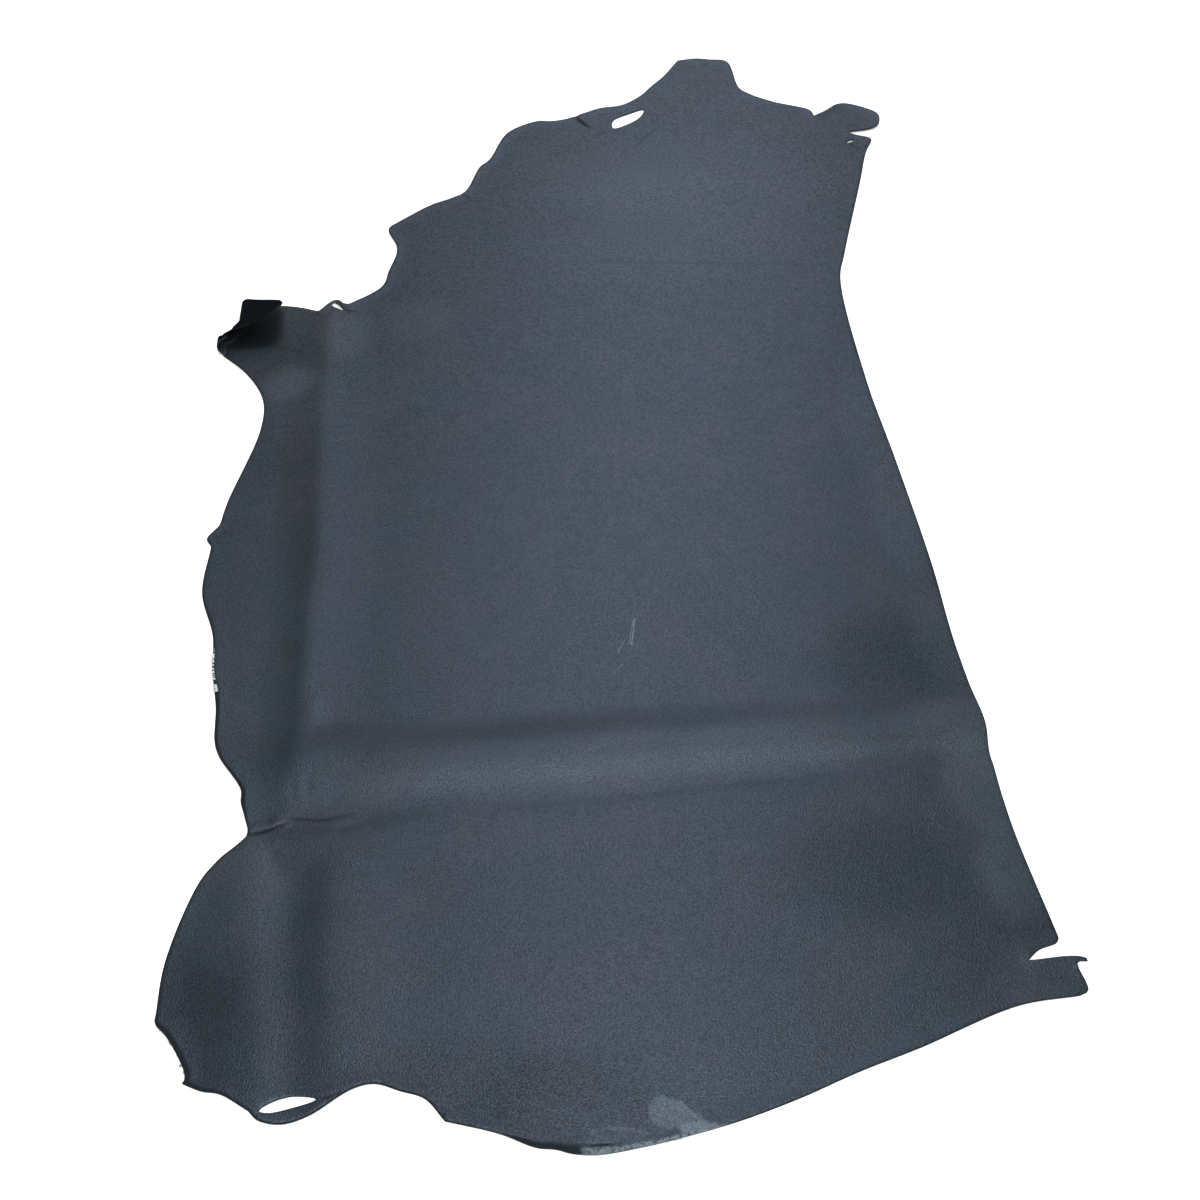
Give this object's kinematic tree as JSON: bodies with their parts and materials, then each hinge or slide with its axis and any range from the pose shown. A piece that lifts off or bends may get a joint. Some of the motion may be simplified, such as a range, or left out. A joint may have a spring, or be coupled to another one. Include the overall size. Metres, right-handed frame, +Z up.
{
  "type": "leather side",
  "caption": "Tanned cattle side of smooth blue-black leather, cut along the back, lying grain side up with fold ridges and one rolled shank.",
  "frame": {"origin": "centre of the bounding box on the surface the side lies on", "axes": "+Z up through the grain side, +Y up the back from the butt to the neck, +X from the belly to the back edge"},
  "size_m": [1.3424, 2.2648, 0.0523],
  "materials": {
    "leather": "dyed grain side with a soft sheen, matte flesh side"
  },
  "bodies": {
    "root": {"leather_side": "leather"}
  },
  "joints": []
}
